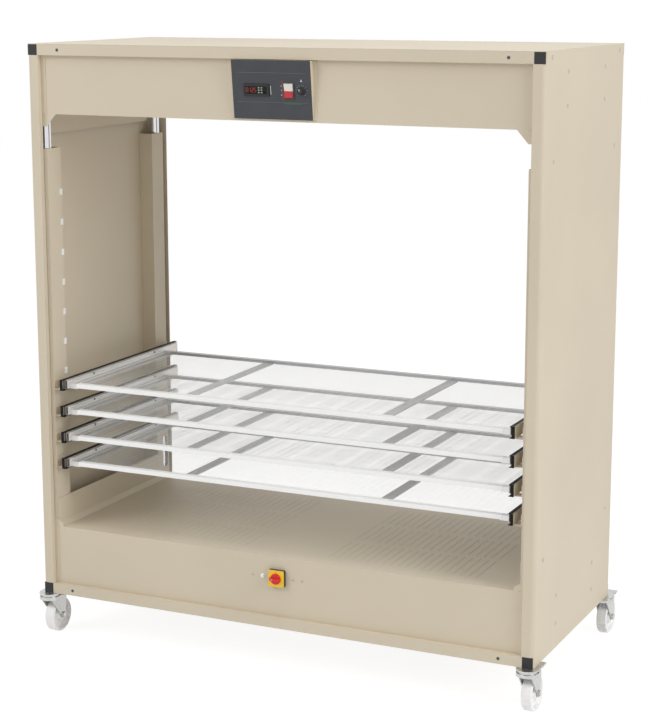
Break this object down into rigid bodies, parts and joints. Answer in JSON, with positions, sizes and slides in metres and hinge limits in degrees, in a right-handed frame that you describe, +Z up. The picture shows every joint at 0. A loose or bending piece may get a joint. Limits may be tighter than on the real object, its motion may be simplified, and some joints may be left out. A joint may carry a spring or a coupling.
{
  "type": "tray drying cabinet",
  "caption": "Open-fronted warm-air drying cabinet with sliding net trays on telescopic slides, a control console and swivel castors.",
  "frame": {"origin": "on the floor, under the centre of the box around the whole machine at rest, castors trailing to the back", "axes": "+X to the right as seen from the front, +Y from the front to the back, +Z up"},
  "size_m": [1.549, 0.793, 1.73],
  "materials": {
    "beige_paint": "fine-textured powder coat, satin",
    "black_plastic": "moulded, matte",
    "zinc_steel": "bright zinc, rolled",
    "slide_black": "black, satin",
    "chrome_tube": "chromed, polished",
    "white_nylon": "moulded, satin",
    "fan_black": "black, satin",
    "aluminium_fins": "mill finish",
    "fascia_grey": "printed film, satin",
    "display_black": "gloss",
    "rocker_white": "gloss",
    "switch_yellow": "yellow plate on a black body",
    "switch_red": "gloss",
    "lamp_white": "frosted lens",
    "tray_white": "white powder coat",
    "net_white": "fine woven screen",
    "castor_zinc": "bright zinc, pressed",
    "screw_zinc": "zinc"
  },
  "bodies": {
    "cabinet": {"base_frame": "beige_paint", "base_pan": "beige_paint", "cable_gland": "black_plastic", "castor_plates": "castor_zinc", "ceiling_panel": "beige_paint", "columns_left": "beige_paint", "columns_right": "beige_paint", "console_housing": "beige_paint", "console_plate": "fascia_grey", "display_module": "display_black", "fan_housings": "fan_black", "front_apron": "beige_paint", "heaters": "aluminium_fins", "lower_front_panel": "beige_paint", "main_switch_base": "switch_yellow", "perforated_floor": "beige_paint", "pilot_lamp": "lamp_white", "screws": "screw_zinc", "side_panel_left": "beige_paint", "side_panel_right": "beige_paint", "slide_brackets": "beige_paint", "slide_outers": "slide_black", "slot_liners": "white_nylon", "top_cover": "beige_paint", "top_frame": "beige_paint", "tube_caps": "black_plastic", "uprights": "chrome_tube"},
    "tray_1": {"tray_frame_1": "tray_white", "tray_net_1": "net_white", "slide_inner_1": "zinc_steel"},
    "slide_mid_1": {"slide_mid_1": "zinc_steel"},
    "tray_2": {"tray_frame_2": "tray_white", "tray_net_2": "net_white", "slide_inner_2": "zinc_steel"},
    "slide_mid_2": {"slide_mid_2": "zinc_steel"},
    "tray_3": {"tray_frame_3": "tray_white", "tray_net_3": "net_white", "slide_inner_3": "zinc_steel"},
    "slide_mid_3": {"slide_mid_3": "zinc_steel"},
    "tray_4": {"tray_frame_4": "tray_white", "tray_net_4": "net_white", "slide_inner_4": "zinc_steel"},
    "slide_mid_4": {"slide_mid_4": "zinc_steel"},
    "fan_left": {"fan_rotor_left": "fan_black"},
    "fan_right": {"fan_rotor_right": "fan_black"},
    "console_knob": {"console_knob": "black_plastic"},
    "console_rocker": {"console_rocker": "rocker_white"},
    "main_switch_knob": {"main_switch_knob": "switch_red"},
    "castor_fork_1": {"castor_fork_1": "castor_zinc"},
    "castor_wheel_1": {"castor_wheel_1": "white_nylon"},
    "brake_pedal_1": {"brake_pedal_1": "castor_zinc"},
    "castor_fork_2": {"castor_fork_2": "castor_zinc"},
    "castor_wheel_2": {"castor_wheel_2": "white_nylon"},
    "brake_pedal_2": {"brake_pedal_2": "castor_zinc"},
    "castor_fork_3": {"castor_fork_3": "castor_zinc"},
    "castor_wheel_3": {"castor_wheel_3": "white_nylon"},
    "brake_pedal_3": {"brake_pedal_3": "castor_zinc"},
    "castor_fork_4": {"castor_fork_4": "castor_zinc"},
    "castor_wheel_4": {"castor_wheel_4": "white_nylon"},
    "brake_pedal_4": {"brake_pedal_4": "castor_zinc"}
  },
  "joints": [
    {"name": "tray_1_slide", "type": "slide", "parent": "cabinet", "child": "tray_1", "axis": [0, -1, 0], "range_m": [0, 0.5]},
    {"name": "slide_mid_1_slide", "type": "slide", "parent": "cabinet", "child": "slide_mid_1", "axis": [0, -1, 0], "range_m": [0, 0.25]},
    {"name": "tray_2_slide", "type": "slide", "parent": "cabinet", "child": "tray_2", "axis": [0, -1, 0], "range_m": [0, 0.5]},
    {"name": "slide_mid_2_slide", "type": "slide", "parent": "cabinet", "child": "slide_mid_2", "axis": [0, -1, 0], "range_m": [0, 0.25]},
    {"name": "tray_3_slide", "type": "slide", "parent": "cabinet", "child": "tray_3", "axis": [0, -1, 0], "range_m": [0, 0.5]},
    {"name": "slide_mid_3_slide", "type": "slide", "parent": "cabinet", "child": "slide_mid_3", "axis": [0, -1, 0], "range_m": [0, 0.25]},
    {"name": "tray_4_slide", "type": "slide", "parent": "cabinet", "child": "tray_4", "axis": [0, -1, 0], "range_m": [0, 0.5]},
    {"name": "slide_mid_4_slide", "type": "slide", "parent": "cabinet", "child": "slide_mid_4", "axis": [0, -1, 0], "range_m": [0, 0.25]},
    {"name": "fan_left_spin", "type": "hinge", "parent": "cabinet", "child": "fan_left", "pos_m": [-0.35, -0.0295, 0.1955], "axis": [0, 0, 1], "continuous": true},
    {"name": "fan_right_spin", "type": "hinge", "parent": "cabinet", "child": "fan_right", "pos_m": [0.35, -0.0295, 0.1955], "axis": [0, 0, 1], "continuous": true},
    {"name": "console_knob_turn", "type": "hinge", "parent": "cabinet", "child": "console_knob", "pos_m": [0.09175, -0.36937, 1.61803], "axis": [0, -0.9934, -0.115], "range_deg": [-135, 135]},
    {"name": "console_rocker_tilt", "type": "hinge", "parent": "cabinet", "child": "console_rocker", "pos_m": [0.0545, -0.36937, 1.61803], "axis": [1, 0, 0], "range_deg": [-4, 4]},
    {"name": "main_switch_turn", "type": "hinge", "parent": "cabinet", "child": "main_switch_knob", "pos_m": [0.0055, -0.3675, 0.273], "axis": [0, -1, 0], "range_deg": [0, 90]},
    {"name": "castor_1_swivel", "type": "hinge", "parent": "cabinet", "child": "castor_fork_1", "pos_m": [-0.7435, -0.3655, 0.11], "axis": [0, 0, 1], "continuous": true},
    {"name": "castor_1_roll", "type": "hinge", "parent": "castor_fork_1", "child": "castor_wheel_1", "pos_m": [-0.7435, -0.3255, 0.05], "axis": [1, 0, 0], "continuous": true},
    {"name": "castor_1_brake", "type": "hinge", "parent": "castor_fork_1", "child": "brake_pedal_1", "pos_m": [-0.7435, -0.3145, 0.107], "axis": [-1, 0, 0], "range_deg": [0, 9]},
    {"name": "castor_2_swivel", "type": "hinge", "parent": "cabinet", "child": "castor_fork_2", "pos_m": [0.7435, -0.3655, 0.11], "axis": [0, 0, 1], "continuous": true},
    {"name": "castor_2_roll", "type": "hinge", "parent": "castor_fork_2", "child": "castor_wheel_2", "pos_m": [0.7435, -0.3255, 0.05], "axis": [1, 0, 0], "continuous": true},
    {"name": "castor_2_brake", "type": "hinge", "parent": "castor_fork_2", "child": "brake_pedal_2", "pos_m": [0.7435, -0.3145, 0.107], "axis": [-1, 0, 0], "range_deg": [0, 9]},
    {"name": "castor_3_swivel", "type": "hinge", "parent": "cabinet", "child": "castor_fork_3", "pos_m": [-0.7435, 0.3065, 0.11], "axis": [0, 0, 1], "continuous": true},
    {"name": "castor_3_roll", "type": "hinge", "parent": "castor_fork_3", "child": "castor_wheel_3", "pos_m": [-0.7435, 0.3465, 0.05], "axis": [1, 0, 0], "continuous": true},
    {"name": "castor_3_brake", "type": "hinge", "parent": "castor_fork_3", "child": "brake_pedal_3", "pos_m": [-0.7435, 0.3575, 0.107], "axis": [-1, 0, 0], "range_deg": [0, 9]},
    {"name": "castor_4_swivel", "type": "hinge", "parent": "cabinet", "child": "castor_fork_4", "pos_m": [0.7435, 0.3065, 0.11], "axis": [0, 0, 1], "continuous": true},
    {"name": "castor_4_roll", "type": "hinge", "parent": "castor_fork_4", "child": "castor_wheel_4", "pos_m": [0.7435, 0.3465, 0.05], "axis": [1, 0, 0], "continuous": true},
    {"name": "castor_4_brake", "type": "hinge", "parent": "castor_fork_4", "child": "brake_pedal_4", "pos_m": [0.7435, 0.3575, 0.107], "axis": [-1, 0, 0], "range_deg": [0, 9]}
  ],
  "couplings": [
    {"joint": "slide_mid_1_slide", "follows": "tray_1_slide", "ratio": 0.5},
    {"joint": "slide_mid_2_slide", "follows": "tray_2_slide", "ratio": 0.5},
    {"joint": "slide_mid_3_slide", "follows": "tray_3_slide", "ratio": 0.5},
    {"joint": "slide_mid_4_slide", "follows": "tray_4_slide", "ratio": 0.5}
  ]
}
